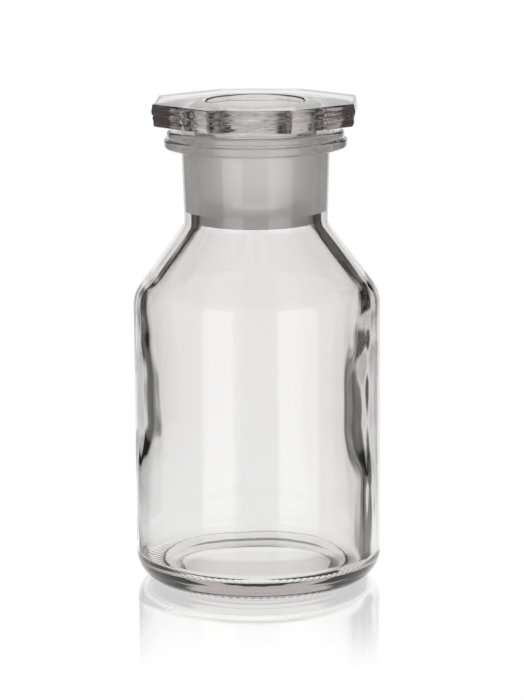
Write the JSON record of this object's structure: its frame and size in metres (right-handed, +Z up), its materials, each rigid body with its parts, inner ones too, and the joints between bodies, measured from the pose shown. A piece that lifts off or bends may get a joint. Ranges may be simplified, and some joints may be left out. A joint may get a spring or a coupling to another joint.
{
  "type": "glass-stoppered reagent bottle",
  "caption": "Wide-mouth clear glass reagent bottle with a steep conical shoulder, flanged mouth and hollow octagonal ground-glass stopper that lifts out of the neck.",
  "frame": {"origin": "on the floor under the bottle's axis, in the plane of the bearing ring", "axes": "+Z up along the bottle's axis of symmetry; +X and +Y square to two flats of the stopper's octagonal head"},
  "size_m": [0.07, 0.07, 0.1368],
  "materials": {
    "bottle_glass": "clear and fire-polished, with a frosted ground band inside the neck",
    "stopper_glass": "clear pressed glass, with a frosted ground taper on the plug"
  },
  "bodies": {
    "bottle": {"bottle": "bottle_glass"},
    "stopper": {"stopper": "stopper_glass"}
  },
  "joints": [
    {"name": "stopper_lift", "type": "slide", "parent": "bottle", "child": "stopper", "axis": [0, 0, 1], "range_m": [0, 0.06]}
  ]
}
